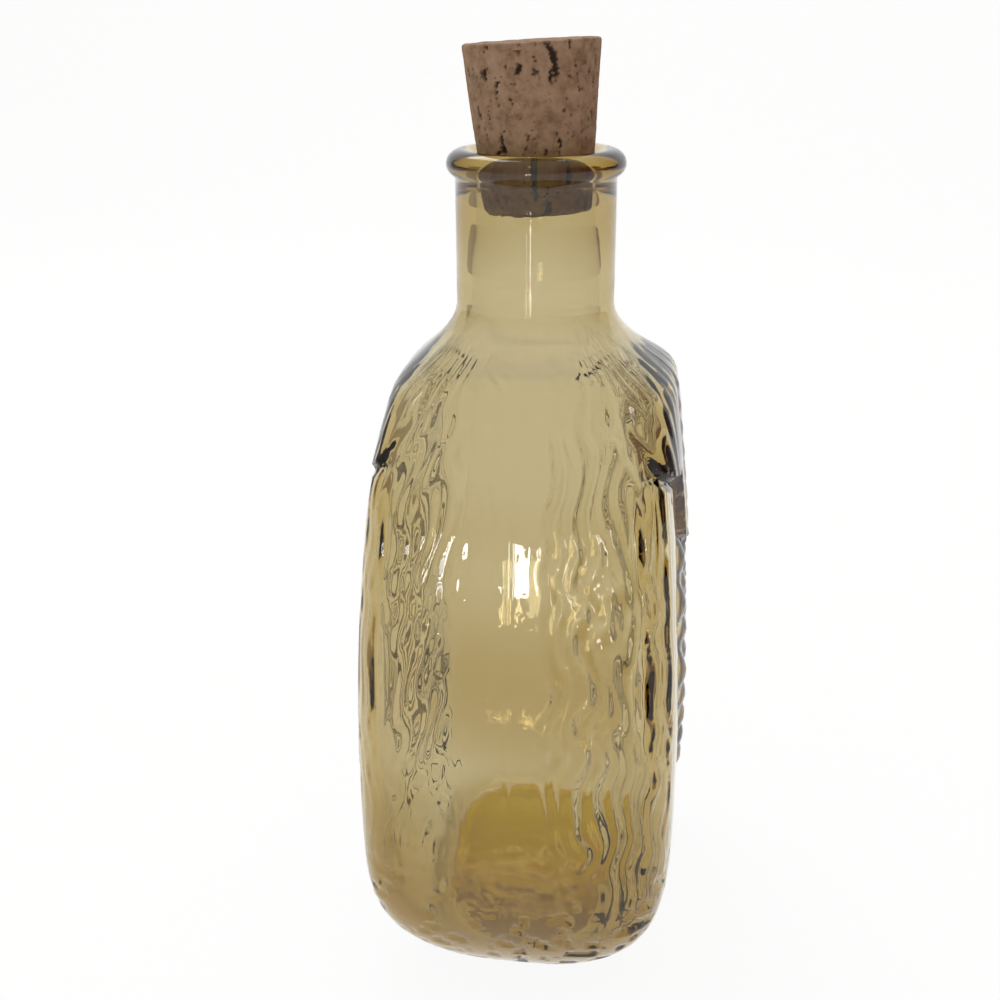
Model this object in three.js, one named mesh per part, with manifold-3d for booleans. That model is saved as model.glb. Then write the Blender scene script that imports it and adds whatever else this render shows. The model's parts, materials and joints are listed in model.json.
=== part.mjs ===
// A pressed-glass decanter with a tapered cork stopper, in millimetres, +Z up.
// The origin is the centre of the base, X runs along the broad faces and Y through them.
// The bottle is a flattened oval that turns round at the neck. Both broad faces carry a vine leaf that
// hangs over a bunch of grapes in a hollow, and zigzag ribs like bark go round the corners.

import * as THREE from "three";
import { mergeVertices } from "three/addons/utils/BufferGeometryUtils.js";
import Module from "manifold-3d";

const wasm = await Module();
wasm.setup();

// Driving dimensions of the glass body
const FOOT_WIDTH = 50.4;
const FOOT_THICKNESS = 37.6;
const BELLY_WIDTH = 88.6;
const BELLY_THICKNESS = 61;
const SHOULDER_WIDTH = 72;
const SHOULDER_THICKNESS = 51;
const BELLY_HEIGHT = 48; // base to the widest level
const SHOULDER_RISE = 71; // widest level to the break of the shoulder, in side view
const SHOULDER_FALL = 15.4; // break of the shoulder to the throat
const BROAD_SHOULDER_LEAD = 15; // how much lower the shoulder breaks in front view
const BODY_SQUARENESS = 6.6; // exponent of the oval section, where 2 is a plain ellipse
const FOOT_SQUARENESS = 3.1;
const HEEL_HEIGHT = 30; // base to where the section has the body's squareness
const HEEL_CURVE = 3.8; // exponent of the curve from belly to foot
const FLANK_CURVE = 2; // exponent of the curve from belly to shoulder
const SIDE_WALL = 3.4; // wall of the narrow sides
const BROAD_WALL = 2.4; // wall of the broad faces
const BASE_THICKNESS = 11;
const FLOOR_ROUNDING = 7; // radius between the cavity's floor and its wall
const STANDING_RING_WIDTH = 5;
const BASE_RECESS_DEPTH = 1.6;

// Driving dimensions of the neck and the lip
const BORE_RADIUS = 11;
const NECK_WALL = 3.8;
const NECK_LENGTH = 22.6; // throat to the lip's lower edge
const LIP_PROJECTION = 1.6; // how far the lip's bead stands out of the neck
const LIP_HEIGHT = 5.2;
const LIP_CREST_INSET = 1.1; // neck's outer face in to the top of the bead
const MOUTH_FLARE = 1.5; // how far the bore opens at the rim
const MOUTH_FLARE_HEIGHT = 1.8;

// Driving dimensions of the cork
const CORK_EXPOSED = 20.2; // seat to top
const CORK_INSERTED = 9.2; // seat to bottom
const CORK_TAPER = 0.09; // radius gained for each millimetre of length
const CORK_CLEARANCE = 0.3; // cork to the bore, at the seat
const CORK_EDGE = 0.8; // worn edge at both ends
const CORK_LEAN = THREE.MathUtils.degToRad(2.8); // the cork is pushed in a little crooked

// Driving dimensions of the relief
const LEAF_LENGTH = 42; // root to the middle lobe's tip
const LEAF_SIDE_REACH = 36; // root to the tips of the side lobes
const LEAF_STEM_REACH = 6; // root to the edge beside the stem
const LEAF_LOBES = 5;
const LEAF_STEM_TURN = THREE.MathUtils.degToRad(130); // middle lobe to the edge beside the stem
const LEAF_NOTCH = 0.28; // share of the reach that the notches take
const LEAF_ROOT_DROP = 6.4; // throat down to the leaf's root
const LEAF_WRAP = 7; // broad face to where the side lobes end, round the corner
const LOBE_EDGE_DROP = 9.5; // leaf's root down to the end of a side lobe
const LOBE_EDGE_RUN = 8; // length and fall of a side lobe's slanted lower edge
const LOBE_EDGE_FALL = 5.3;
const LEAF_RELIEF = 1;
const GRAPE_RADIUS = 4.1;
const GRAPE_RELIEF = 1.4; // how far a grape stands out of the wall
const GRAPE_PITCH = 8.4;
const GRAPE_ROWS = 8;
const GRAPE_WIDEST_ROW = 5;
const BUNCH_OVERLAP = 2.4; // leaf's tip up to the first row
const HOLLOW_DEPTH = 1.2; // hollow round the bunch
const HOLLOW_WIDTH = 8;
const RIB_RELIEF = 0.75;
const RIB_FOOT = 10; // base to where the ribs begin to rise
const RIB_FULL = 70; // base to where they stand out in full
const ZIGZAG_PITCH = 13; // one zigzag up a rib
const SLOT_DEPTH = 1.8; // slots down the corners
const SLOT_FOOT = 60; // base to the lower slot
const LOWER_SLOT_LENGTH = 31;
const UPPER_SLOT_LENGTH = 19;

// Columns of a quarter of the body, counted from the middle of a narrow side to that of a broad face
const QUARTER_COLUMNS = 18;
const RIB_COLUMNS = [1, 3, 9, 12]; // where the ribs start, are full, start to fall and end
const SLOT_COLUMN = 7;
const ZIGZAG_REACH = 0.3; // sideways, in columns
const ZIGZAG_LAG = 0.1; // share of a zigzag by which a column lags behind the one before it

// How finely the curved forms are cut
const OUTER_SEGMENTS = 4 * QUARTER_COLUMNS;
const INNER_SEGMENTS = 32;
const CORNER_CROWDING = 0.4; // share by which the cuts lie closer together at the corners
const SHOULDER_RINGS = 8;
const CORNER_RINGS = 3;
const LIP_RINGS = 5;
const GRAPE_SIDES = 8;
const GRAPE_TIERS = 4;
const LEAF_POINTS = 50;
const SAME_POINT = 1e-4; // corners nearer than this are one

// Levels and radii that follow from the dimensions above
const shoulderLevel = BELLY_HEIGHT + SHOULDER_RISE;
const broadShoulderLevel = shoulderLevel - BROAD_SHOULDER_LEAD;
const throatLevel = shoulderLevel + SHOULDER_FALL;
const lipLevel = throatLevel + NECK_LENGTH;
const rimLevel = lipLevel + LIP_HEIGHT;
const seatLevel = rimLevel - MOUTH_FLARE_HEIGHT;
const neckRadius = BORE_RADIUS + NECK_WALL;
const crestRadius = neckRadius - LIP_CREST_INSET;
const leafRootLevel = throatLevel - LEAF_ROOT_DROP;
const leafTipLevel = leafRootLevel - LEAF_LENGTH;
const lobesEnd = SHOULDER_THICKNESS / 2 - LEAF_WRAP;
const clearOfGlass = BELLY_WIDTH + BELLY_THICKNESS; // longer than anything in the section

const mix = (from, to, share) => from + (to - from) * share;
const smooth = (from, to, value) => THREE.MathUtils.smoothstep(value, from, to);

// Half of the body's size at a level: a round heel below the belly, a slow draw-in above it.
function bodyHalf(foot, belly, shoulder, level) {
  if (level < BELLY_HEIGHT) {
    return mix(belly, foot, (1 - level / BELLY_HEIGHT) ** HEEL_CURVE) / 2;
  }
  return mix(belly, shoulder, ((level - BELLY_HEIGHT) / SHOULDER_RISE) ** FLANK_CURVE) / 2;
}

// The outer section at a level, from the body's oval to the neck's circle.
function section(level) {
  const sideTurn = smooth(shoulderLevel, throatLevel, level);
  const broadTurn = smooth(broadShoulderLevel, throatLevel, level);
  const heelTurn = smooth(0, HEEL_HEIGHT, level);
  const thickness = bodyHalf(FOOT_THICKNESS, BELLY_THICKNESS, SHOULDER_THICKNESS, level);
  const width = bodyHalf(FOOT_WIDTH, BELLY_WIDTH, SHOULDER_WIDTH, level);
  return {
    level,
    halfThickness: mix(thickness, neckRadius, sideTurn),
    halfWidth: mix(width, neckRadius, broadTurn),
    squareness: mix(mix(FOOT_SQUARENESS, BODY_SQUARENESS, heelTurn), 2, broadTurn),
    sideWall: mix(SIDE_WALL, NECK_WALL, broadTurn),
    broadWall: mix(BROAD_WALL, NECK_WALL, sideTurn),
  };
}

// A section moved in or out of the wall by a distance.
function grown(ring, distance) {
  return {
    ...ring,
    halfThickness: ring.halfThickness + distance,
    halfWidth: ring.halfWidth + distance,
  };
}

const roundRing = (radius, level) => ({ level, halfThickness: radius, halfWidth: radius, squareness: 2 });

// Distance from the axis of a unit section, in the direction of a turn.
function unitReach(turn, squareness) {
  const sum = Math.abs(Math.cos(turn)) ** squareness + Math.abs(Math.sin(turn)) ** squareness;
  return sum ** (-1 / squareness);
}

// A place on a section, given as an even turn that the corners then draw to themselves.
function sectionPoint(ring, evenTurn) {
  const turn = evenTurn + (CORNER_CROWDING * Math.sin(4 * evenTurn)) / 4;
  const reach = unitReach(turn, ring.squareness);
  return new THREE.Vector3(
    ring.halfWidth * reach * Math.cos(turn),
    ring.halfThickness * reach * Math.sin(turn),
    ring.level,
  );
}

// Outward direction of a section at one of its points.
function sectionNormal(ring, point) {
  const power = ring.squareness - 1;
  const across = (Math.abs(point.x / ring.halfWidth) ** power / ring.halfWidth) * Math.sign(point.x);
  const through = (Math.abs(point.y / ring.halfThickness) ** power / ring.halfThickness) * Math.sign(point.y);
  return new THREE.Vector3(across, through, 0).normalize();
}

// A closed form through a stack of sections that starts and ends on the axis.
function loft(rings, segments, place = sectionPoint) {
  const profile = rings.map((ring) => new THREE.Vector2(ring.halfThickness, ring.level));
  const form = new THREE.LatheGeometry(profile, segments).rotateX(Math.PI / 2);
  const points = form.getAttribute("position");
  for (let i = 0; i < points.count; i++) {
    const ring = rings[i % rings.length];
    const point = place(ring, Math.atan2(points.getY(i), points.getX(i)));
    points.setXYZ(i, point.x, point.y, point.z);
  }
  return form;
}

// Levels from one height to another in even steps, without the last.
function levels(from, to, steps) {
  return Array.from({ length: steps }, (_, k) => mix(from, to, k / steps));
}

// A geometry as a solid that can be cut and joined.
function solid(geometry) {
  const bare = geometry.index ? geometry.toNonIndexed() : geometry.clone();
  bare.deleteAttribute("normal");
  bare.deleteAttribute("uv");
  const merged = mergeVertices(bare, SAME_POINT);
  const corners = merged.index.array;
  const triVerts = [];
  for (let i = 0; i < corners.length; i += 3) {
    const [a, b, c] = corners.slice(i, i + 3);
    if (a !== b && b !== c && c !== a) triVerts.push(a, b, c);
  }
  const vertProperties = merged.attributes.position.array;
  return new wasm.Manifold(new wasm.Mesh({ numProp: 3, vertProperties, triVerts: new Uint32Array(triVerts) }));
}

// A solid back as a geometry.
function geometryOf(made) {
  const mesh = made.getMesh();
  const geometry = new THREE.BufferGeometry();
  geometry.setAttribute("position", new THREE.BufferAttribute(mesh.vertProperties, 3));
  geometry.setIndex(new THREE.BufferAttribute(mesh.triVerts, 1));
  geometry.computeVertexNormals();
  return geometry;
}

// Every bend of the zigzag has its ring.
const bodyLevels = [
  ...levels(0, broadShoulderLevel, Math.round((2 * broadShoulderLevel) / ZIGZAG_PITCH)),
  ...levels(broadShoulderLevel, throatLevel, SHOULDER_RINGS),
  throatLevel,
];

// The bead around the mouth, from the neck's face over to its crest.
function lipRings() {
  const bead = neckRadius + LIP_PROJECTION - crestRadius;
  const start = -Math.acos((neckRadius - crestRadius) / bead);
  const middle = lipLevel + LIP_HEIGHT / 2;
  return Array.from({ length: LIP_RINGS + 1 }, (_, k) => {
    const turn = mix(start, Math.PI / 2, k / LIP_RINGS);
    return roundRing(crestRadius + bead * Math.cos(turn), middle + (LIP_HEIGHT / 2) * Math.sin(turn));
  });
}

// The outside of the bottle as a full form, with its wall moved out by a relief's height.
function blank(relief, place) {
  const foot = section(0);
  const recessEdge = grown(foot, -STANDING_RING_WIDTH);
  const recessFloor = { ...grown(foot, -2 * STANDING_RING_WIDTH), level: BASE_RECESS_DEPTH };
  return loft([
    roundRing(0, BASE_RECESS_DEPTH),
    recessFloor,
    recessEdge,
    ...bodyLevels.map((level) => grown(section(level), relief)),
    ...lipRings(),
    roundRing(0, rimLevel),
  ], OUTER_SEGMENTS, place);
}

// The space inside the glass, with the bore and the flared mouth.
function cavity() {
  const inner = (level) => {
    const ring = section(level);
    return {
      ...ring,
      halfThickness: ring.halfThickness - ring.broadWall,
      halfWidth: ring.halfWidth - ring.sideWall,
    };
  };
  const floorCorner = Array.from({ length: CORNER_RINGS }, (_, k) => {
    const turn = ((k / CORNER_RINGS) * Math.PI) / 2;
    const level = BASE_THICKNESS + FLOOR_ROUNDING * (1 - Math.cos(turn));
    return grown(inner(level), -FLOOR_ROUNDING * (1 - Math.sin(turn)));
  });
  const wallFoot = BASE_THICKNESS + FLOOR_ROUNDING;
  const wallLevels = [wallFoot, ...bodyLevels.filter((level) => level > wallFoot)];
  const flare = Array.from({ length: CORNER_RINGS + 1 }, (_, k) => {
    const turn = ((k / CORNER_RINGS) * Math.PI) / 2;
    const radius = BORE_RADIUS + MOUTH_FLARE * (1 - Math.cos(turn));
    return roundRing(radius, seatLevel + MOUTH_FLARE_HEIGHT * Math.sin(turn));
  });
  const above = rimLevel + LIP_HEIGHT;
  return loft([
    roundRing(0, BASE_THICKNESS),
    ...floorCorner,
    ...wallLevels.map(inner),
    ...flare,
    roundRing(BORE_RADIUS + MOUTH_FLARE, above),
    roundRing(0, above),
  ], INNER_SEGMENTS);
}

// Distance from the leaf's root to its edge, in the direction of a turn from the middle lobe.
function leafReach(turn) {
  const aside = Math.abs(turn);
  const sideLobe = (2 * Math.PI) / LEAF_LOBES;
  const lower = mix(LEAF_LENGTH, LEAF_SIDE_REACH, Math.min(aside / sideLobe, 1));
  const reach = mix(lower, LEAF_STEM_REACH, smooth(sideLobe, LEAF_STEM_TURN, aside));
  return reach * (1 - (LEAF_NOTCH * (1 - Math.cos(LEAF_LOBES * turn))) / 2);
}

// The leaf's outline on a broad face, drawn out through the glass on the -Y side.
function leafPrism() {
  const outline = Array.from({ length: LEAF_POINTS }, (_, k) => {
    const turn = mix(-Math.PI, Math.PI, k / LEAF_POINTS);
    const reach = leafReach(turn);
    return new THREE.Vector2(reach * Math.sin(turn), leafRootLevel - reach * Math.cos(turn));
  });
  const form = new THREE.ExtrudeGeometry(new THREE.Shape(outline), { depth: clearOfGlass, bevelEnabled: false });
  return form.rotateX(Math.PI / 2).translate(0, -lobesEnd, 0);
}

// What is cut off below the side lobes' slanted edges, round the corners.
function lobeCut() {
  const lobeLevel = leafRootLevel - LOBE_EDGE_DROP;
  const outline = [
    [lobesEnd, lobeLevel],
    [lobesEnd + LOBE_EDGE_RUN, lobeLevel - LOBE_EDGE_FALL],
    [lobesEnd + LOBE_EDGE_RUN, leafTipLevel],
    [0, leafTipLevel],
    [0, lobeLevel],
  ].map(([depth, level]) => new THREE.Vector2(depth, level));
  const form = new THREE.ExtrudeGeometry(new THREE.Shape(outline), { depth: clearOfGlass, bevelEnabled: false });
  return form.rotateX(Math.PI / 2).rotateZ(-Math.PI / 2).translate(clearOfGlass / 2, 0, 0);
}

// The wall's distance from the middle plane, at a place on a broad face.
function faceDepth(x, level) {
  const ring = section(level);
  const share = Math.min(Math.abs(x) / ring.halfWidth, 1);
  return ring.halfThickness * (1 - share ** ring.squareness) ** (1 / ring.squareness);
}

// Middles of the grapes on a broad face, in rows that close up towards the tip.
function grapePlaces() {
  const places = [];
  const firstRow = leafTipLevel + BUNCH_OVERLAP;
  for (let row = 0; row < GRAPE_ROWS; row++) {
    const count = Math.min(GRAPE_WIDEST_ROW - ((row + 1) % 2), GRAPE_ROWS - row);
    const level = firstRow - (row * GRAPE_PITCH * Math.sqrt(3)) / 2;
    for (let k = 0; k < count; k++) {
      places.push(new THREE.Vector2((k - (count - 1) / 2) * GRAPE_PITCH, level));
    }
  }
  return places;
}

const grapeMiddles = grapePlaces();

// A flattened ball on the -Y face.
function grape(middle) {
  const ball = new THREE.SphereGeometry(GRAPE_RADIUS, GRAPE_SIDES, GRAPE_TIERS).rotateX(Math.PI / 2);
  ball.scale(1, GRAPE_RELIEF / GRAPE_RADIUS, 1);
  return ball.translate(middle.x, -faceDepth(middle.x, middle.y), middle.y);
}

// How full the bark is at a column of a quarter and a level, from 0 to 1.
function barkShare(column, level) {
  const [start, full, fall, end] = RIB_COLUMNS;
  const across = smooth(start, full, column) * (1 - smooth(fall, end, column));
  return across * smooth(RIB_FOOT, RIB_FULL, level) * (1 - smooth(broadShoulderLevel, throatLevel, level));
}

// How open the two slots of a corner are at a level, from 0 to 1.
function slotShare(level) {
  const slotBreak = SLOT_FOOT + LOWER_SLOT_LENGTH;
  const inLower = THREE.MathUtils.clamp((level - SLOT_FOOT) / LOWER_SLOT_LENGTH, 0, 1);
  const inUpper = THREE.MathUtils.clamp((level - slotBreak) / UPPER_SLOT_LENGTH, 0, 1);
  return Math.max(Math.sin(Math.PI * inLower), Math.sin(Math.PI * inUpper));
}

// How deep the hollow round the bunch is at a place on a broad face, from 0 to 1.
function hollowShare(x, level) {
  const place = new THREE.Vector2(x, level);
  const near = Math.min(...grapeMiddles.map((middle) => middle.distanceTo(place)));
  const edge = near - GRAPE_RADIUS;
  return smooth(0, HOLLOW_WIDTH / 4, edge) * (1 - smooth(HOLLOW_WIDTH / 2, HOLLOW_WIDTH, edge));
}

// A place on the carved outside: every other column is a rib, which zigzags as it rises.
function carvedPoint(ring, evenTurn) {
  const columnTurn = (2 * Math.PI) / OUTER_SEGMENTS;
  const column = Math.round(evenTurn / columnTurn) + OUTER_SEGMENTS;
  const folded = column % (2 * QUARTER_COLUMNS);
  const quarterColumn = Math.min(folded, 2 * QUARTER_COLUMNS - folded);
  const share = barkShare(quarterColumn, ring.level);
  const zigzag = Math.cos(2 * Math.PI * (ring.level / ZIGZAG_PITCH + ZIGZAG_LAG * quarterColumn));
  const outwards = folded === quarterColumn ? 1 : -1;
  const point = sectionPoint(ring, evenTurn + outwards * columnTurn * ZIGZAG_REACH * share * zigzag);
  if (ring.halfWidth === 0) return point;
  let height = quarterColumn % 2 === 0 ? RIB_RELIEF * share : 0;
  if (quarterColumn === SLOT_COLUMN) height -= SLOT_DEPTH * slotShare(ring.level);
  if (quarterColumn > SLOT_COLUMN) height -= HOLLOW_DEPTH * hollowShare(point.x, ring.level);
  return point.addScaledVector(sectionNormal(ring, point), height);
}

// The glass: a carved form with the same relief on both broad faces, hollowed by the cavity.
function bottle() {
  let relief = solid(blank(LEAF_RELIEF)).intersect(solid(leafPrism())).subtract(solid(lobeCut()));
  for (const middle of grapeMiddles) {
    relief = relief.add(solid(grape(middle)));
  }
  const turned = solid(geometryOf(relief).rotateZ(Math.PI));
  return geometryOf(solid(blank(0, carvedPoint)).add(relief).add(turned).subtract(solid(cavity())));
}

// The stopper: a tapered plug about its own axis, with the seat at height 0.
function cork() {
  const seatRadius = BORE_RADIUS - CORK_CLEARANCE;
  const radiusAt = (height) => seatRadius + CORK_TAPER * height;
  const outline = [
    [0, -CORK_INSERTED],
    [radiusAt(-CORK_INSERTED) - CORK_EDGE, -CORK_INSERTED],
    [radiusAt(CORK_EDGE - CORK_INSERTED), CORK_EDGE - CORK_INSERTED],
    [seatRadius, 0],
    [radiusAt(CORK_EXPOSED - CORK_EDGE), CORK_EXPOSED - CORK_EDGE],
    [radiusAt(CORK_EXPOSED) - CORK_EDGE, CORK_EXPOSED],
    [0, CORK_EXPOSED],
  ];
  const profile = outline.map(([radius, height]) => new THREE.Vector2(radius, height));
  return new THREE.LatheGeometry(profile, INNER_SEGMENTS).rotateX(Math.PI / 2);
}

function piece(name, geometry, look) {
  const mesh = new THREE.Mesh(geometry, new THREE.MeshStandardMaterial(look));
  mesh.name = name;
  return mesh;
}

const amberGlass = { color: 0xb8a05c, roughness: 0.05, metalness: 0, transparent: true, opacity: 0.6 };
const cutCork = { color: 0xa88a6c, roughness: 0.9, metalness: 0 };

const decanter = new THREE.Group();
decanter.add(piece("glass_bottle", bottle(), amberGlass));

const corkSeat = new THREE.Group();
corkSeat.position.set(0, 0, seatLevel);
corkSeat.rotation.x = CORK_LEAN;
corkSeat.add(piece("cork_stopper", cork(), cutCork));
decanter.add(corkSeat);

export default decanter;
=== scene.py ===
"""Looks of a honey-amber pressed-glass decanter with a cork stopper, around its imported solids.

Metres, +Z up. X runs along the broad faces and Y through them, and the near narrow side is at +X.
"""

import json
import math
from collections import namedtuple

import bmesh
import bpy
from mathutils import Matrix, Quaternion, Vector, noise


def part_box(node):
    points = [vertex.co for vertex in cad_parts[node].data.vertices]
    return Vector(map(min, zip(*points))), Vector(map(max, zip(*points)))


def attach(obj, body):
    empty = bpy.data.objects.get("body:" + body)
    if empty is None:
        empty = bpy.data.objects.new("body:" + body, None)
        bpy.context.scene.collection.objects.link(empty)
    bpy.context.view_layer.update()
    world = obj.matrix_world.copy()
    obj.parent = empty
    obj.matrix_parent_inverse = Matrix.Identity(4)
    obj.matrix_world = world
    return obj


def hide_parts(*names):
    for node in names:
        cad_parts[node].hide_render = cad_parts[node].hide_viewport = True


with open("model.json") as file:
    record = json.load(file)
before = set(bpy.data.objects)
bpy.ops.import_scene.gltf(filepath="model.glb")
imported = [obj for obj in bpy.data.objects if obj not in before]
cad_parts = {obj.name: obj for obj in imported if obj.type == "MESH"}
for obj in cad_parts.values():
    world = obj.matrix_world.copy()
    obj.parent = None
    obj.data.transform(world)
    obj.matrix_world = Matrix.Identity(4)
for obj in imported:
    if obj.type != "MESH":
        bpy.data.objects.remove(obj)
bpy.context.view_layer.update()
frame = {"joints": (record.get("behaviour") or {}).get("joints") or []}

MM = 0.001
TURN = 2 * math.pi

# Sizes of the glass, which follow the solid that it replaces
_, glass_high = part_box("glass_bottle")
RIM_LEVEL = glass_high.z
BELLY_HALF_WIDTH = 44.3 * MM
GRAPE_RELIEF = 1.4 * MM
BELLY_HALF_THICKNESS = glass_high.y - GRAPE_RELIEF
FOOT_HALF_WIDTH = 25.2 * MM
FOOT_HALF_THICKNESS = 18.8 * MM
SHOULDER_HALF_WIDTH = 36 * MM
SHOULDER_HALF_THICKNESS = 25.5 * MM
HEEL_LEVEL = 30 * MM
BELLY_LEVEL = 48 * MM
BROAD_SHOULDER_LEVEL = 104 * MM
SHOULDER_LEVEL = 119 * MM
THROAT_LEVEL = 134.4 * MM
LIP_LEVEL = 157 * MM
FOOT_SQUARENESS = 3.1  # exponent of the oval section, where 2 is a plain ellipse
BODY_SQUARENESS = 6.6
HEEL_CURVE = 3.8
FLANK_CURVE = 2
HEEL_WALL = 7 * MM  # wall of the narrow sides, at the heel, at its thinnest and up at the shoulder
SIDE_WALL = 2.8 * MM
HIGH_SIDE_WALL = 3.4 * MM
SIDE_WALL_LEVELS = (25 * MM, 62 * MM, 105 * MM)
BROAD_WALL = 2.4 * MM  # wall of the broad faces
NECK_WALL = 3.8 * MM  # round the cork, and below it
LOW_NECK_WALL = 2.9 * MM
LOW_NECK_LEVELS = (140 * MM, 149 * MM)
BORE_RADIUS = 11 * MM
NECK_RADIUS = BORE_RADIUS + NECK_WALL
LIP_RADIUS = 16.4 * MM
LIP_CREST_RADIUS = 13.4 * MM
MOUTH_FLARE_HEIGHT = 2.2 * MM
BASE_THICKNESS = 5 * MM
FLOOR_ROUNDING = 4 * MM
FOOT_ROUNDING = 1.4 * MM
RECESS_DEPTH = 0.8 * MM
RECESS_SHARE = (0.55, 0.8)  # of the foot, from the recess's floor to the standing ring

# Sizes of the cork
CORK_SEAT_LEVEL = 160.4 * MM
CORK_SEAT_RADIUS = 10.7 * MM
CORK_TAPER = 0.09
CORK_EXPOSED = 20.2 * MM
CORK_INSERTED = 9.2 * MM
CORK_EDGE = 0.7 * MM
CORK_STEP = 0.2 * MM
CORK_SHRINKAGE = 0.15 * MM
CORK_PORE_DEPTH = 0.6 * MM
CORK_CRUMBLE_HEIGHT = 2.2 * MM  # of the worn lower edge
CORK_CRUMBLE_DEPTH = 0.9 * MM

# How finely the meshes are cut
COLUMNS = 460
HEEL_STEP = 1 * MM
BODY_STEP = 1.6 * MM
HOOD_STEP = 0.6 * MM
HOOD_LEVELS = (107 * MM, 119 * MM)
CAVITY_STEP = 2.5 * MM
NECK_STEP = 5 * MM
BROAD_FACE_DENSITY = 0.32  # columns on the broad faces for each one on the narrow sides
BROAD_FACE_SHARE = (0.55, 0.8)  # of the width, where a broad face starts to end and has ended
LANE_STEPS = 64  # short steps that each lane of bark is measured in
CORK_COLUMNS = 300

Column = namedtuple("Column", "turn place along lane pitch")


def mix(start, end, share):
    return start + (end - start) * share


def smooth(start, end, value):
    share = min(max((value - start) / (end - start), 0), 1)
    return share * share * (3 - 2 * share)


def steps(start, end, step):
    """Levels from start to end, both included, about a step apart."""
    count = max(round(abs(end - start) / step), 1)
    return [mix(start, end, k / count) for k in range(count + 1)]


# The glass body's sections

def body_half(foot, belly, shoulder, level):
    """Half of the body's size at a level: a round heel below the belly, a slow draw-in above it."""
    if level < BELLY_LEVEL:
        return mix(belly, foot, (1 - level / BELLY_LEVEL) ** HEEL_CURVE)
    rise = (level - BELLY_LEVEL) / (SHOULDER_LEVEL - BELLY_LEVEL)
    return mix(belly, shoulder, rise ** FLANK_CURVE)


def section(level):
    """The section at a level, from the body's oval to the neck's circle, and its walls."""
    side_turn = smooth(SHOULDER_LEVEL, THROAT_LEVEL, level)
    broad_turn = smooth(BROAD_SHOULDER_LEVEL, THROAT_LEVEL, level)
    neck_wall = mix(LOW_NECK_WALL, NECK_WALL, smooth(*LOW_NECK_LEVELS, level))
    heel, waist, high = SIDE_WALL_LEVELS
    low_wall = mix(HEEL_WALL, SIDE_WALL, smooth(heel, waist, level))
    side_wall = mix(low_wall, HIGH_SIDE_WALL, smooth(waist, high, level))
    squareness = mix(FOOT_SQUARENESS, BODY_SQUARENESS, smooth(0, HEEL_LEVEL, level))
    thickness = body_half(FOOT_HALF_THICKNESS, BELLY_HALF_THICKNESS, SHOULDER_HALF_THICKNESS, level)
    width = body_half(FOOT_HALF_WIDTH, BELLY_HALF_WIDTH, SHOULDER_HALF_WIDTH, level)
    return {
        "level": level,
        "thickness": mix(thickness, NECK_RADIUS, side_turn),
        "width": mix(width, NECK_RADIUS, broad_turn),
        "squareness": mix(squareness, 2, broad_turn),
        "side_wall": mix(side_wall, neck_wall, broad_turn),
        "broad_wall": mix(BROAD_WALL, neck_wall, side_turn),
        "skin": "outside",
    }


def grown(ring, distance):
    return {**ring, "thickness": ring["thickness"] + distance, "width": ring["width"] + distance}


def scaled(ring, share, level):
    return {**ring, "thickness": ring["thickness"] * share, "width": ring["width"] * share, "level": level}


def round_ring(radius, level, skin="plain"):
    return {"level": level, "thickness": radius, "width": radius, "squareness": 2, "skin": skin}


def ring_point(ring, turn):
    c, s, n = math.cos(turn), math.sin(turn), ring["squareness"]
    reach = (abs(c) ** n + abs(s) ** n) ** (-1 / n)
    return Vector((ring["width"] * reach * c, ring["thickness"] * reach * s, ring["level"]))


def ring_normal(ring, point):
    """Outward direction of a section, level with it."""
    n = ring["squareness"] - 1
    across = math.copysign(abs(point.x / ring["width"]) ** n, point.x) / ring["width"]
    through = math.copysign(abs(point.y / ring["thickness"]) ** n, point.y) / ring["thickness"]
    return Vector((across, through, 0)).normalized()


def crowded(even_turn):
    """A turn about the axis, from an even one, that the corners draw to themselves."""
    return even_turn + CORNER_CROWDING * math.sin(4 * even_turn) / 4


def make_columns():
    """The mesh's columns and the bark's lanes that they lie in, closer round the narrow sides."""
    belly = section(BELLY_LEVEL)
    fine = 4 * QUARTER_LANES * LANE_STEPS
    points = [ring_point(belly, crowded(TURN * k / fine)) for k in range(fine + 1)]
    length, weight = [0.0], [0.0]
    for a, b in zip(points, points[1:]):
        step = (b - a).length
        broad = 1 - smooth(*BROAD_FACE_SHARE, abs(a.x) / belly["width"])
        length.append(length[-1] + step)
        weight.append(weight[-1] + step * mix(1, BROAD_FACE_DENSITY, broad))
    half = length[-1] / 2
    columns, k = [], 0
    for j in range(COLUMNS):
        while weight[k + 1] <= weight[-1] * j / COLUMNS:
            k += 1
        share = (weight[-1] * j / COLUMNS - weight[k]) / (weight[k + 1] - weight[k])
        turn = crowded(TURN * (k + share) / fine)
        along = mix(length[k], length[k + 1], share) % half
        lane = (k + share) / LANE_STEPS % (2 * QUARTER_LANES)
        columns.append(Column(
            turn=turn,
            place=ring_point(belly, turn),
            along=min(along, half - along),
            lane=min(lane, 2 * QUARTER_LANES - lane),
            pitch=LANE_STEPS * (length[k + 1] - length[k]),
        ))
    return columns


# The relief of the outside

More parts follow.
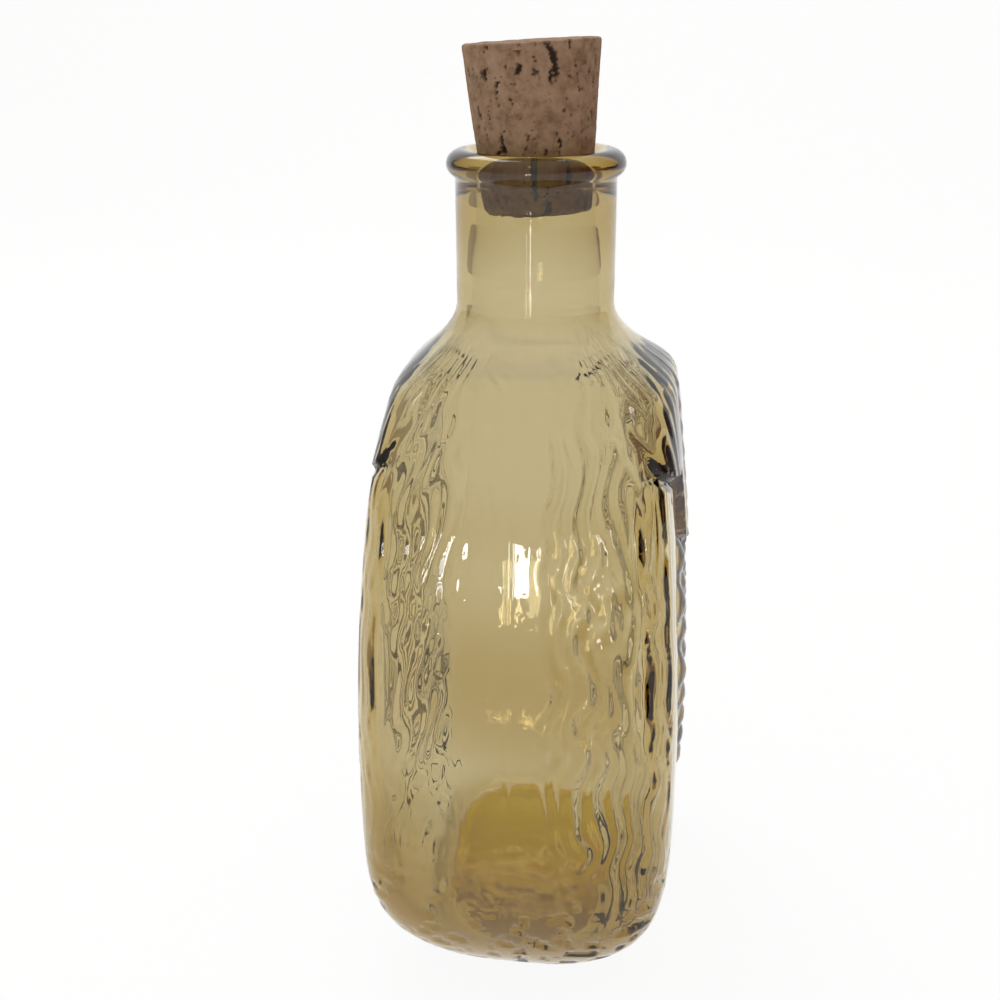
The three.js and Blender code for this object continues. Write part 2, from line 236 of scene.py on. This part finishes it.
SEAM_RELIEF = 0.12 * MM
SEAM_WIDTH = 0.6 * MM
QUARTER_LANES = 18  # lanes of bark, from the middle of a narrow side to that of a broad face
CORNER_CROWDING = 0.4  # share by which the lanes lie closer together at the corners
RIB_LANES = (0.8, 2.8, 9, 12)  # where the ribs start, are full, start to fall and end
WORN_LANES = 1  # by which the worn ribs start later
RIB_RELIEF = 0.9 * MM
FINE_RIB = 0.5  # share of the relief that the ribs on the odd lanes have
RIB_HALF_WIDTH = 0.46  # in lanes
RIB_UNEVEN_WIDTH = 0.25  # share by which that half width varies
RIB_SLOPE = 0.12  # breadth of a rib's sloped side, in lanes
WORN_RIB_SLOPE = 0.4  # the same, where the mould was worn
RIB_TOP_SHARE = 0.35  # of the relief, which the upper step of a rib has
RIB_LENGTH = 38 * MM
RIB_SCATTER = 2.3  # lengths by which the ribs' ends lie apart from lane to lane
RIB_LEVELS = (20 * MM, 70 * MM)  # where the ribs begin to rise and are full
WAVE_LENGTH = 13 * MM  # of the bark's slow unevenness, across and upwards
WAVE_HEIGHT = 22 * MM
WORN_SHARE = 0.3  # of the relief, where the mould was worn on the -Y side
WORN_EDGE = 10 * MM  # to either side of the middle plane, over which the wear sets in
ZIGZAG_PITCH = 13 * MM
ZIGZAG_REACH = 0.3  # sideways, in lanes
ZIGZAG_LIVELINESS = (0.5, 1.6)  # times that reach, where the bark is calm and lively
ZIGZAG_LAG = 0.1  # share of a zigzag by which a lane lags behind the one before it
SLOT_LANE = 7
SLOT_DEPTH = 1.8 * MM
LOWER_SLOT_HALF_WIDTH = 0.9  # in lanes
UPPER_SLOT_HALF_WIDTH = 0.5
SLOT_FOOT = 60 * MM
LOWER_SLOT_LENGTH = 31 * MM
UPPER_SLOT_LENGTH = 19 * MM
PIT_SIZE = 4.4 * MM  # across
PIT_FLATNESS = 2.4  # times as wide as high
PIT_DEPTH = 0.8 * MM
PIT_LEVELS = (3 * MM, 8 * MM, 26 * MM, 42 * MM)  # where they start, are full, start to fade and end
WORN_PIT_SHARE = 0.5  # of their depth, where the mould was worn
LEAF_LENGTH = 42 * MM
LEAF_SIDE_REACH = 36 * MM
LEAF_STEM_REACH = 6 * MM
LEAF_LOBES = 5
LEAF_STEM_TURN = math.radians(130)
LEAF_NOTCH = 0.28  # share of the reach that the notches take
LEAF_ROOT_LEVEL = 128 * MM
LOBE_END = 18.5 * MM  # middle plane to where the side lobes end, round the corner
LOBE_LEVEL = 117.5 * MM
LOBE_EDGE_RUN = 7 * MM  # length and fall of a side lobe's slanted lower edge
LOBE_EDGE_FALL = 8.5 * MM
LEAF_RELIEF = 1.7 * MM
LEAF_EDGE = 0.8 * MM
GROOVE_WIDTH = 2.2 * MM  # round the leaf's edge
GROOVE_DEPTH = 1.1 * MM
VEIN_RELIEF = 0.35 * MM
VEIN_WIDTH = 1 * MM
RIPPLE_RELIEF = 0.1 * MM  # of the leaf, between its veins
RIPPLE_PITCH = 4.5 * MM
GRAPE_RADIUS = 4.1 * MM
GRAPE_PITCH = 8.4 * MM
GRAPE_SOFTNESS = 1.2  # above 1 the grapes run out softly into the ground
GRAPE_ROWS = 8
GRAPE_WIDEST_ROW = 5
BUNCH_TOP = 88.4 * MM
HOLLOW_DEPTH = 1.2 * MM
HOLLOW_WIDTH = 8 * MM
INNER_SHARE = 0.6  # of the relief, which the inside of the wall follows
WALL_WAVINESS = 0.05 * MM


def grape_places():
    """Centres of the grapes on a broad face, in rows that close up towards the tip."""
    places = []
    for row in range(GRAPE_ROWS):
        count = min(GRAPE_WIDEST_ROW - (row + 1) % 2, GRAPE_ROWS - row)
        level = BUNCH_TOP - row * GRAPE_PITCH * math.sqrt(3) / 2
        places += [((k - (count - 1) / 2) * GRAPE_PITCH, level) for k in range(count)]
    return places


GRAPES = grape_places()
BUNCH_TIP = GRAPES[-1][1]


def unevenness(column, level, seed):
    """A slow random wave over the bark, from about -1 to 1."""
    across, through = column.place.x / WAVE_LENGTH, column.place.y / WAVE_LENGTH
    return noise.noise(Vector((across, through, level / WAVE_HEIGHT + seed)))


def worn(column):
    """How far the mould was worn, from 0 on the +Y side to 1 on the -Y side."""
    return 1 - smooth(-WORN_EDGE, WORN_EDGE, column.place.y)


def mould_share(column):
    """Share of the relief that the worn mould left."""
    return mix(1, WORN_SHARE, worn(column))


def zigzag_lane(column, level):
    """The lane that a place belongs to, once the zigzag is straightened out."""
    liveliness = mix(*ZIGZAG_LIVELINESS, smooth(-0.4, 0.5, unevenness(column, level, 31)))
    phase = level / ZIGZAG_PITCH + ZIGZAG_LAG * column.lane + 0.9 * unevenness(column, level, 7)
    sway = ZIGZAG_REACH * liveliness * math.cos(TURN * phase)
    return column.lane - sway - 0.5 * unevenness(column, level, 13)


def bark(column, level):
    """Upright zigzag ribs with stepped flat tops and round ends, round the corners."""
    start, full, fall, end = RIB_LANES
    share = smooth(start, full, column.lane - WORN_LANES * worn(column))
    share *= 1 - smooth(fall, end, column.lane)
    share *= smooth(*RIB_LEVELS, level) * (1 - smooth(BROAD_SHOULDER_LEVEL, THROAT_LEVEL, level))
    share *= mould_share(column)
    if share == 0:
        return 0
    lane = zigzag_lane(column, level)
    rib = round(lane)
    corner = math.copysign(1, column.place.y) + 2 * math.copysign(1, column.place.x)
    up = level / RIB_LENGTH + RIB_SCATTER * noise.noise(Vector((rib * 1.7, corner * 3.3, 0.5)))
    to_end = (0.5 - abs(up - round(up))) * RIB_LENGTH / column.pitch
    half_width = RIB_HALF_WIDTH * (1 + RIB_UNEVEN_WIDTH * unevenness(column, level, 3))
    off = math.hypot(lane - rib, max(half_width - to_end, 0))
    slope = mix(RIB_SLOPE, WORN_RIB_SLOPE, worn(column))
    step = 1 - smooth(half_width - slope, half_width, off)
    top = 1 - smooth(0.5 * half_width - slope / 2, 0.5 * half_width, off)
    height = RIB_RELIEF * (1 if rib % 2 == 0 else FINE_RIB)
    return height * share * mix(step, top, RIB_TOP_SHARE)


def slots(column, level):
    """Two spindle-shaped slots down each corner, one above the other."""
    slot_break = SLOT_FOOT + LOWER_SLOT_LENGTH
    if level < slot_break:
        share, half_width = (level - SLOT_FOOT) / LOWER_SLOT_LENGTH, LOWER_SLOT_HALF_WIDTH
    else:
        share, half_width = (level - slot_break) / UPPER_SLOT_LENGTH, UPPER_SLOT_HALF_WIDTH
    open_share = math.sin(math.pi * min(max(share, 0), 1))
    if open_share < 0.01:
        return 0
    off = abs(column.lane - SLOT_LANE - 0.3 * unevenness(column, level, 19)) / (half_width * open_share)
    return -SLOT_DEPTH * mould_share(column) * open_share * (1 - smooth(0.35, 1, off))


def pits(column, level):
    """Short uneven pits over the heel."""
    start, full, fade, end = PIT_LEVELS
    spot = Vector((column.place.x, column.place.y, level * PIT_FLATNESS)) / PIT_SIZE
    hole = smooth(0.18, 0.42, noise.noise(spot) + 0.3 * noise.noise(spot * 2.2))
    window = smooth(start, full, level) * (1 - smooth(fade, end, level))
    return -PIT_DEPTH * window * hole * mix(1, WORN_PIT_SHARE, worn(column))


def leaf_inset(x, level):
    """How far a place on a broad face lies inside the hanging leaf's edge."""
    turn = math.atan2(x, LEAF_ROOT_LEVEL - level)
    side_lobe = TURN / LEAF_LOBES
    lower = mix(LEAF_LENGTH, LEAF_SIDE_REACH, min(abs(turn) / side_lobe, 1))
    reach = mix(lower, LEAF_STEM_REACH, smooth(side_lobe, LEAF_STEM_TURN, abs(turn)))
    notch = LEAF_NOTCH * (1 - math.cos(LEAF_LOBES * turn)) / 2
    return reach * (1 - notch) - math.hypot(x, LEAF_ROOT_LEVEL - level)


def lobe_inset(depth, level):
    """How far a place round a corner lies inside the slanted lower edge of a side lobe."""
    fall = min(max((LOBE_LEVEL - level) / LOBE_EDGE_FALL, 0), 1)
    slant = math.hypot(LOBE_EDGE_RUN, LOBE_EDGE_FALL) / LOBE_EDGE_FALL
    return (depth - LOBE_END - LOBE_EDGE_RUN * fall) / slant


def leaf_top(x, level):
    """Height of the leaf, with a vein down each lobe and ripples between them."""
    down = LEAF_ROOT_LEVEL - level
    side_lobe = TURN / LEAF_LOBES
    turn = math.atan2(x, down)
    off_lobe = turn - side_lobe * round(turn / side_lobe)
    from_root = math.hypot(x, down)
    off_vein = from_root * abs(math.sin(off_lobe))
    vein = VEIN_RELIEF * (1 - smooth(0, VEIN_WIDTH, off_vein))
    slanted = from_root * math.cos(off_lobe) - 0.9 * off_vein
    ripple = RIPPLE_RELIEF * math.cos(TURN * slanted / RIPPLE_PITCH)
    return LEAF_RELIEF + vein + ripple


def from_bunch(x, level):
    """Distance of a place on a broad face from the nearest grape's middle, or far where none is near."""
    if not BUNCH_TIP - 2 * GRAPE_PITCH < level < BUNCH_TOP + 2 * GRAPE_PITCH:
        return 4 * GRAPE_PITCH
    return min(math.hypot(x - gx, level - gz) for gx, gz in GRAPES)


def grape_top(near):
    return GRAPE_RELIEF * max(1 - (near / GRAPE_RADIUS) ** 2, 0) ** GRAPE_SOFTNESS


def bunch_top(column, level, x):
    """Height of the bunch of grapes and the hollow round it."""
    if column.lane < SLOT_LANE + 1:
        return 0
    near = from_bunch(x, level)
    edge = near - GRAPE_RADIUS
    hollow = smooth(0, HOLLOW_WIDTH / 4, edge) * (1 - smooth(HOLLOW_WIDTH / 2, HOLLOW_WIDTH, edge))
    return mould_share(column) * (grape_top(near) - HOLLOW_DEPTH * hollow)


def leaf_place(point, level):
    """How far a place lies inside the leaf's edge, and the share of the leaf's relief that it gets."""
    depth = abs(point.y)
    inset = min(leaf_inset(point.x, level), lobe_inset(depth, level))
    ebb = smooth(0, LOBE_EDGE_FALL, level - LOBE_LEVEL)
    return inset, mix(1, smooth(LOBE_END, LOBE_END + LOBE_EDGE_RUN, depth), ebb)


def relief(column, ring, point):
    """Height of the outside over its plain section."""
    level = ring["level"]
    height = SEAM_RELIEF * (1 - smooth(0, SEAM_WIDTH, column.along)) + pits(column, level)
    height += bark(column, level) + slots(column, level) + bunch_top(column, level, point.x)
    if abs(point.y) > LOBE_END - GROOVE_WIDTH:
        inset, share = leaf_place(point, level)
        groove = GROOVE_DEPTH * smooth(-GROOVE_WIDTH, -0.6 * GROOVE_WIDTH, inset)
        leaf = mix(height - groove, leaf_top(point.x, level), smooth(0, LEAF_EDGE, inset))
        height = mix(height, leaf, share * mould_share(column))
    return height


def inner_relief(column, ring, point):
    """The inside of the wall, which follows the broad faces' main forms."""
    level = ring["level"]
    height = bunch_top(column, level, point.x)
    if abs(point.y) > LOBE_END:
        inset, share = leaf_place(point, level)
        share *= mould_share(column) * smooth(-LEAF_EDGE, 2 * LEAF_EDGE, inset)
        height = mix(height, LEAF_RELIEF, share)
    return INNER_SHARE * height


# The glass bottle

def underside_rings():
    foot = section(0)
    shares = [0, 0.25, 0.5, 0.58, 0.66, 0.74, 0.82, 0.9]
    rings = [scaled(foot, s, RECESS_DEPTH * (1 - smooth(*RECESS_SHARE, s))) for s in shares]
    return [{**ring, "skin": "plain"} for ring in rings]


def body_rings():
    heel = []
    for k in range(4):
        turn = TURN / 4 * k / 4
        ring = section(FOOT_ROUNDING * (1 - math.cos(turn)))
        heel.append(grown(ring, -FOOT_ROUNDING * (1 - math.sin(turn))))
    body = [section(level) for level in steps(FOOT_ROUNDING, BELLY_LEVEL, HEEL_STEP)[:-1]]
    hood_low, hood_high = HOOD_LEVELS
    body += [section(level) for level in steps(BELLY_LEVEL, hood_low, BODY_STEP)[:-1]]
    body += [section(level) for level in steps(hood_low, hood_high, HOOD_STEP)[:-1]]
    body += [section(level) for level in steps(hood_high, THROAT_LEVEL, BODY_STEP)]
    neck = [section(level) for level in steps(THROAT_LEVEL, LIP_LEVEL, NECK_STEP)]
    return heel + body + neck[1:-1]


def lip_rings():
    """The bead round the mouth, from the neck over its crest and into the bore."""
    middle, half = (LIP_LEVEL + RIM_LEVEL) / 2, (RIM_LEVEL - LIP_LEVEL) / 2
    bead = LIP_RADIUS - LIP_CREST_RADIUS
    start = -math.acos((NECK_RADIUS - LIP_CREST_RADIUS) / bead)
    outside = []
    for k in range(10):
        turn = mix(start, TURN / 4, k / 9)
        outside.append(round_ring(LIP_CREST_RADIUS + bead * math.cos(turn), middle + half * math.sin(turn)))
    inside = []
    for k in range(1, 5):
        turn = TURN / 4 * k / 4
        radius = LIP_CREST_RADIUS - (LIP_CREST_RADIUS - BORE_RADIUS) * math.sin(turn)
        inside.append(round_ring(radius, RIM_LEVEL - MOUTH_FLARE_HEIGHT * (1 - math.cos(turn))))
    return outside + inside


def cavity_rings():
    def inner(level):
        ring = section(level)
        thickness = ring["thickness"] - ring["broad_wall"]
        width = ring["width"] - ring["side_wall"]
        return {**ring, "thickness": thickness, "width": width, "skin": "inside"}

    top = RIM_LEVEL - MOUTH_FLARE_HEIGHT
    wall_foot = BASE_THICKNESS + FLOOR_ROUNDING
    rings = [inner(level) for level in steps(top, wall_foot, CAVITY_STEP)[1:]]
    for k in range(1, 7):
        turn = TURN / 4 * k / 6
        ring = inner(wall_foot - FLOOR_ROUNDING * math.sin(turn))
        rings.append(grown(ring, -FLOOR_ROUNDING * (1 - math.cos(turn))))
    floor = rings[-1]
    return rings + [scaled(floor, share, BASE_THICKNESS) for share in (0.8, 0.6, 0.4, 0.2, 0)]


def waviness(point):
    """Slow unevenness of a pressed wall, from -1 to 1."""
    return noise.noise(point / (16 * MM)) + 0.4 * noise.noise(point / (7 * MM))


def skin_point(ring, column):
    if ring["width"] <= 0:
        return Vector((0, 0, ring["level"]))
    point = ring_point(ring, column.turn)
    if ring["skin"] == "outside":
        height = relief(column, ring, point) + WALL_WAVINESS * waviness(point)
        return point + ring_normal(ring, point) * height
    if ring["skin"] == "inside":
        bulge = WALL_WAVINESS * waviness(point + Vector((0.3, 0.2, 0.1)))
        return point + ring_normal(ring, point) * (bulge + inner_relief(column, ring, point))
    return point


def wrapped_grid(columns, rings, place):
    """A closed skin, wrapped from a grid, with a place for each column's point on each ring."""
    bm = bmesh.new()
    bmesh.ops.create_grid(bm, x_segments=columns, y_segments=rings - 1, size=0.5)
    for vert in bm.verts:
        column = round((vert.co.x + 0.5) * columns) % columns
        ring = round((vert.co.y + 0.5) * (rings - 1))
        vert.co = place(column, ring)
    bmesh.ops.remove_doubles(bm, verts=bm.verts, dist=1e-7)
    bmesh.ops.recalc_face_normals(bm, faces=bm.faces)
    return bm


def finished(bm, name, material):
    """The bmesh as a smooth object of the scene."""
    for face in bm.faces:
        face.smooth = True
    mesh = bpy.data.meshes.new(name)
    bm.to_mesh(mesh)
    bm.free()
    mesh.materials.append(material)
    made = bpy.data.objects.new(name, mesh)
    bpy.context.scene.collection.objects.link(made)
    return made


def make_bottle():
    rings = underside_rings() + body_rings() + lip_rings() + cavity_rings()
    columns = make_columns()
    bm = wrapped_grid(COLUMNS, len(rings), lambda c, r: skin_point(rings[r], columns[c]))
    bottle = finished(bm, "pressed_glass_bottle", amber_glass())
    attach(bottle, "bottle")
    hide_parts("glass_bottle")


# The cork

def cork_profile():
    """(radius, height) pairs from the middle of the bottom, up the side, to the middle of the top."""
    def radius(height):
        return CORK_SEAT_RADIUS + CORK_TAPER * height

    low, high = -CORK_INSERTED, CORK_EXPOSED
    low_edge, high_edge = radius(low), radius(high)
    profile = [(low_edge * k / 24, low) for k in range(23)]
    profile += [(low_edge - CORK_EDGE, low), (low_edge - 0.3 * CORK_EDGE, low + 0.3 * CORK_EDGE)]
    profile += [(radius(h), h) for h in steps(low + CORK_EDGE, high - CORK_EDGE, CORK_STEP)]
    profile += [(high_edge - 0.3 * CORK_EDGE, high - 0.3 * CORK_EDGE), (high_edge - CORK_EDGE, high)]
    profile += [(high_edge * k / 24, high) for k in range(22, -1, -1)]
    return profile


def cork_pit(point):
    """How deep a place lies in a pore, from 0 to 1."""
    long_pores = noise.noise(Vector((point.x / (1.5 * MM), point.y / (1.5 * MM), point.z / (3.4 * MM))))
    ragged = 0.25 * noise.noise(point / (0.5 * MM))
    fine_pores = noise.noise(point / (0.75 * MM) + Vector((5, 2, 8)))
    return max(smooth(0.38, 0.55, long_pores + ragged), 0.7 * smooth(0.5, 0.65, fine_pores))


def make_cork():
    profile = cork_profile()

    def place(column, ring):
        radius, height = profile[ring]
        turn = TURN * column / CORK_COLUMNS
        return Vector((radius * math.cos(turn), radius * math.sin(turn), height))

    bm = wrapped_grid(CORK_COLUMNS, len(profile), place)
    bm.normal_update()
    depth = bm.verts.layers.float.new("pore")
    moves = []
    for vert in bm.verts:
        pit = cork_pit(vert.co)
        crumble = 1 - smooth(0, CORK_CRUMBLE_HEIGHT, vert.co.z + CORK_INSERTED)
        loss = CORK_CRUMBLE_DEPTH * crumble * max(noise.noise(vert.co / (1.6 * MM)), 0)
        vert[depth] = min(pit + crumble * 0.3 * (loss > 0.2 * MM), 1)
        swell = 0.12 * MM * noise.noise(vert.co / (5 * MM))
        swell += 0.04 * MM * noise.noise(vert.co / (0.9 * MM))
        moves.append((vert, vert.normal * (swell - CORK_SHRINKAGE - CORK_PORE_DEPTH * pit - loss)))
    for vert, move in moves:
        vert.co += move
    axis = Vector(frame["joints"][0]["axis"])
    lean = Vector((0, 0, 1)).rotation_difference(axis).to_matrix().to_4x4()
    seat = Matrix.Translation((0, 0, CORK_SEAT_LEVEL))
    bmesh.ops.transform(bm, matrix=seat @ lean, verts=bm.verts)
    cork = finished(bm, "tapered_cork", natural_cork())
    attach(cork, "cork")
    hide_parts("cork_stopper")


# Materials

def new_material(name):
    """A node material, with its nodes, links and Principled shader."""
    material = bpy.data.materials.new(name)
    material.use_nodes = True
    tree = material.node_tree
    return material, tree.nodes, tree.links, tree.nodes["Principled BSDF"]


def noise_texture(nodes, links, coordinates, scale, detail, roughness=0.55):
    texture = nodes.new("ShaderNodeTexNoise")
    texture.inputs["Scale"].default_value = scale
    texture.inputs["Detail"].default_value = detail
    texture.inputs["Roughness"].default_value = roughness
    links.new(coordinates, texture.inputs["Vector"])
    return texture.outputs["Fac"]


def ramp(nodes, links, value, stops):
    """A colour ramp of (place, colour) stops over a value."""
    node = nodes.new("ShaderNodeValToRGB")
    elements = node.color_ramp.elements
    while len(elements) < len(stops):
        elements.new(0.5)
    for element, (place, colour) in zip(elements, stops):
        element.position = place
        element.color = (*colour, 1)
    links.new(value, node.inputs["Fac"])
    return node.outputs["Color"]


def bump(nodes, links, height, strength, distance):
    node = nodes.new("ShaderNodeBump")
    node.inputs["Strength"].default_value = strength
    node.inputs["Distance"].default_value = distance
    links.new(height, node.inputs["Height"])
    return node.outputs["Normal"]


def colour_mix(nodes, blend_type="MIX"):
    """Sockets of a node that mixes two colours: its factor, both colours and its result."""
    node = nodes.new("ShaderNodeMix")
    node.data_type = "RGBA"
    node.blend_type = blend_type
    colour_a, colour_b = (socket for socket in node.inputs if socket.type == "RGBA")
    result = next(socket for socket in node.outputs if socket.type == "RGBA")
    return node.inputs["Factor"], colour_a, colour_b, result


def amber_glass():
    """Clear glass that gets its colour from its thickness, with faint ripples and haze."""
    material, nodes, links, shader = new_material("amber_glass")
    place = nodes.new("ShaderNodeTexCoord").outputs["Object"]
    shader.inputs["Base Color"].default_value = (0.9, 0.9, 0.9, 1)
    shader.inputs["Transmission Weight"].default_value = 1
    shader.inputs["IOR"].default_value = 1.51
    haze = noise_texture(nodes, links, place, 90, 3)
    roughness = ramp(nodes, links, haze, [(0.4, (0, 0, 0)), (0.8, (0.03, 0.03, 0.03))])
    links.new(roughness, shader.inputs["Roughness"])
    ripple = noise_texture(nodes, links, place, 260, 2)
    links.new(bump(nodes, links, ripple, 0.08, 0.3 * MM), shader.inputs["Normal"])
    absorption = nodes.new("ShaderNodeVolumeAbsorption")
    absorption.inputs["Color"].default_value = (0.656, 0.509, 0, 1)
    absorption.inputs["Density"].default_value = 218
    links.new(absorption.outputs["Volume"], nodes["Material Output"].inputs["Volume"])
    return material


def natural_cork():
    """Matt tan cork, dark in its pores."""
    material, nodes, links, shader = new_material("natural_cork")
    place = nodes.new("ShaderNodeTexCoord").outputs["Object"]
    pore = nodes.new("ShaderNodeAttribute")
    pore.attribute_name = "pore"
    tan = ramp(
        nodes, links, noise_texture(nodes, links, place, 420, 5, 0.65),
        [(0.3, (0.18, 0.105, 0.062)), (0.5, (0.3, 0.19, 0.118)), (0.7, (0.375, 0.255, 0.167))],
    )
    depth, skin, bottom, colour = colour_mix(nodes)
    links.new(pore.outputs["Fac"], depth)
    links.new(tan, skin)
    bottom.default_value = (0.03, 0.017, 0.012, 1)
    links.new(colour, shader.inputs["Base Color"])
    shader.inputs["Roughness"].default_value = 0.85
    shader.inputs["Specular IOR Level"].default_value = 0.25
    grain = noise_texture(nodes, links, place, 1500, 4)
    links.new(bump(nodes, links, grain, 0.5, 0.15 * MM), shader.inputs["Normal"])
    return material


# The stage

FLOOR_FRONT = 0.9
FLOOR_BACK = -0.9
FLOOR_HALF_BREADTH = 1.4
BACKDROP_BEND = 0.35
BACKDROP_HEIGHT = 1.1
SEEN_WHITE = 0.93  # share of plain white in what the camera sees of the floor


def painted_caustic_and_shadow(nodes, links):
    """White, but with painted light under the bottle: a painted amber caustic towards -X, where only light
    that came through the glass arrives, and a painted brown-grey shadow towards the near +X side.
    """
    place = nodes.new("ShaderNodeVectorMath")
    place.operation = "DIVIDE"
    place.inputs[1].default_value = (FOOT_HALF_WIDTH, FOOT_HALF_THICKNESS, 1)
    links.new(nodes.new("ShaderNodeTexCoord").outputs["Object"], place.inputs[0])
    from_middle = nodes.new("ShaderNodeVectorMath")
    from_middle.operation = "LENGTH"
    links.new(place.outputs["Vector"], from_middle.inputs[0])
    outside = ramp(nodes, links, from_middle.outputs["Value"], [(0.92, (0, 0, 0)), (1, (1, 1, 1))])
    along = nodes.new("ShaderNodeSeparateXYZ")
    links.new(place.outputs["Vector"], along.inputs["Vector"])
    # painted light: amber caustic where X is under a fifth of the foot's half width, turning to a painted
    # brown-grey contact shadow by half of it towards +X
    painted_light_tint = ramp(nodes, links, along.outputs["X"], [(0.2, (0.84, 0.7, 0.02)), (0.5, (0.46, 0.37, 0.25))])
    share, under_foot, beside_foot, colour = colour_mix(nodes, "LIGHTEN")
    share.default_value = 1
    links.new(painted_light_tint, under_foot)
    links.new(outside, beside_foot)
    return colour


def pale_floor():
    """A lit white floor that also looks plain white to the camera and through the glass, except for the
    painted amber caustic and shadow under the bottle, which it both shows and glows with.
    """
    material, nodes, links, shader = new_material("pale_floor")
    shader.inputs["Roughness"].default_value = 0.9
    white = nodes.new("ShaderNodeEmission")
    colour = painted_caustic_and_shadow(nodes, links)
    # the emission glows with the same colour, so the painted caustic and shadow show to the camera, in
    # reflections and through the glass
    links.new(colour, white.inputs["Color"])
    links.new(colour, shader.inputs["Base Color"])
    light_path = nodes.new("ShaderNodeLightPath")
    seen = light_path.outputs["Is Camera Ray"]
    for ray in ("Is Glossy Ray", "Is Transmission Ray"):
        either = nodes.new("ShaderNodeMath")
        either.operation = "MAXIMUM"
        links.new(seen, either.inputs[0])
        links.new(light_path.outputs[ray], either.inputs[1])
        seen = either.outputs[0]
    share = nodes.new("ShaderNodeMath")
    share.operation = "MULTIPLY"
    share.inputs[1].default_value = SEEN_WHITE
    links.new(seen, share.inputs[0])
    blend = nodes.new("ShaderNodeMixShader")
    links.new(share.outputs[0], blend.inputs["Fac"])
    links.new(shader.outputs["BSDF"], blend.inputs[1])
    links.new(white.outputs["Emission"], blend.inputs[2])
    links.new(blend.outputs["Shader"], nodes["Material Output"].inputs["Surface"])
    return material


def make_floor():
    """A floor that turns up behind the object into a backdrop."""
    bm = bmesh.new()
    profile = [Vector((FLOOR_FRONT, 0, 0)), Vector((FLOOR_BACK, 0, 0))]
    for k in range(1, 17):
        turn = TURN / 4 * k / 16
        bend = Vector((-math.sin(turn), 0, 1 - math.cos(turn))) * BACKDROP_BEND
        profile.append(Vector((FLOOR_BACK, 0, 0)) + bend)
    profile.append(profile[-1] + Vector((0, 0, BACKDROP_HEIGHT)))
    verts = [bm.verts.new(point - Vector((0, FLOOR_HALF_BREADTH, 0))) for point in profile]
    edges = [bm.edges.new(pair) for pair in zip(verts, verts[1:])]
    drawn = bmesh.ops.extrude_edge_only(bm, edges=edges)
    moved = [item for item in drawn["geom"] if isinstance(item, bmesh.types.BMVert)]
    bmesh.ops.translate(bm, verts=moved, vec=(0, 2 * FLOOR_HALF_BREADTH, 0))
    floor = finished(bm, "floor", pale_floor())


def area_lamp(name, place, target, size, watts):
    data = bpy.data.lights.new(name, "AREA")
    data.shape = "RECTANGLE"
    data.size, data.size_y = size
    data.energy = watts
    lamp = bpy.data.objects.new(name, data)
    lamp.location = place
    lamp.rotation_euler = (Vector(target) - Vector(place)).to_track_quat("-Z", "Y").to_euler()
    bpy.context.scene.collection.objects.link(lamp)


def studio_world():
    """Soft light all round that is dim towards +Y, which gives the glass its darker right edge."""
    world = bpy.data.worlds.new("studio")
    world.use_nodes = True
    nodes, links = world.node_tree.nodes, world.node_tree.links
    direction = nodes.new("ShaderNodeSeparateXYZ")
    links.new(nodes.new("ShaderNodeTexCoord").outputs["Generated"], direction.inputs["Vector"])
    sideways = nodes.new("ShaderNodeMapRange")
    sideways.inputs["From Min"].default_value = -1
    links.new(direction.outputs["Y"], sideways.inputs["Value"])
    shade = ramp(nodes, links, sideways.outputs["Result"], [
        (0.03, (0.42, 0.37, 0.32)), (0.2, (0.62, 0.6, 0.57)), (0.4, (0.68, 0.66, 0.63)),
        (0.65, (0.68, 0.66, 0.63)), (0.82, (0.5, 0.41, 0.35)), (0.96, (0.18, 0.09, 0.075))])
    links.new(shade, nodes["Background"].inputs["Color"])
    return world


def make_light():
    bpy.context.scene.world = studio_world()
    middle = Vector((0, 0, 0.09))
    area_lamp("back_softbox", (-0.45, -0.2, 0.95), middle, (0.7, 0.7), 6)
    window_side = Vector((0.041, 0, 0.095))
    area_lamp("left_window_pane", (0.54, -0.056, 0.035), window_side, (0.011, 0.06), 0.045)
    area_lamp("right_window_pane", (0.54, -0.022, 0.035), window_side, (0.036, 0.06), 0.08)


# The camera

CAMERA_PLACE = Vector((231.7, 25.2, 186.55)) * MM
CAMERA_VIEW = Vector((-0.921, -0.128, -0.3705))
CAMERA_ROLL = math.radians(-0.35)
CAMERA_LENS = 44.93


def make_camera():
    data = bpy.data.cameras.new("camera")
    data.lens = CAMERA_LENS
    data.clip_start = 0.01
    camera = bpy.data.objects.new("camera", data)
    camera.location = CAMERA_PLACE
    level_view = CAMERA_VIEW.to_track_quat("-Z", "Y")
    camera.rotation_euler = (level_view @ Quaternion((0, 0, 1), CAMERA_ROLL)).to_euler()
    bpy.context.scene.collection.objects.link(camera)
    bpy.context.scene.camera = camera


make_camera()
make_bottle()
make_cork()
make_floor()
make_light()
bpy.context.scene.view_settings.view_transform = "Standard"
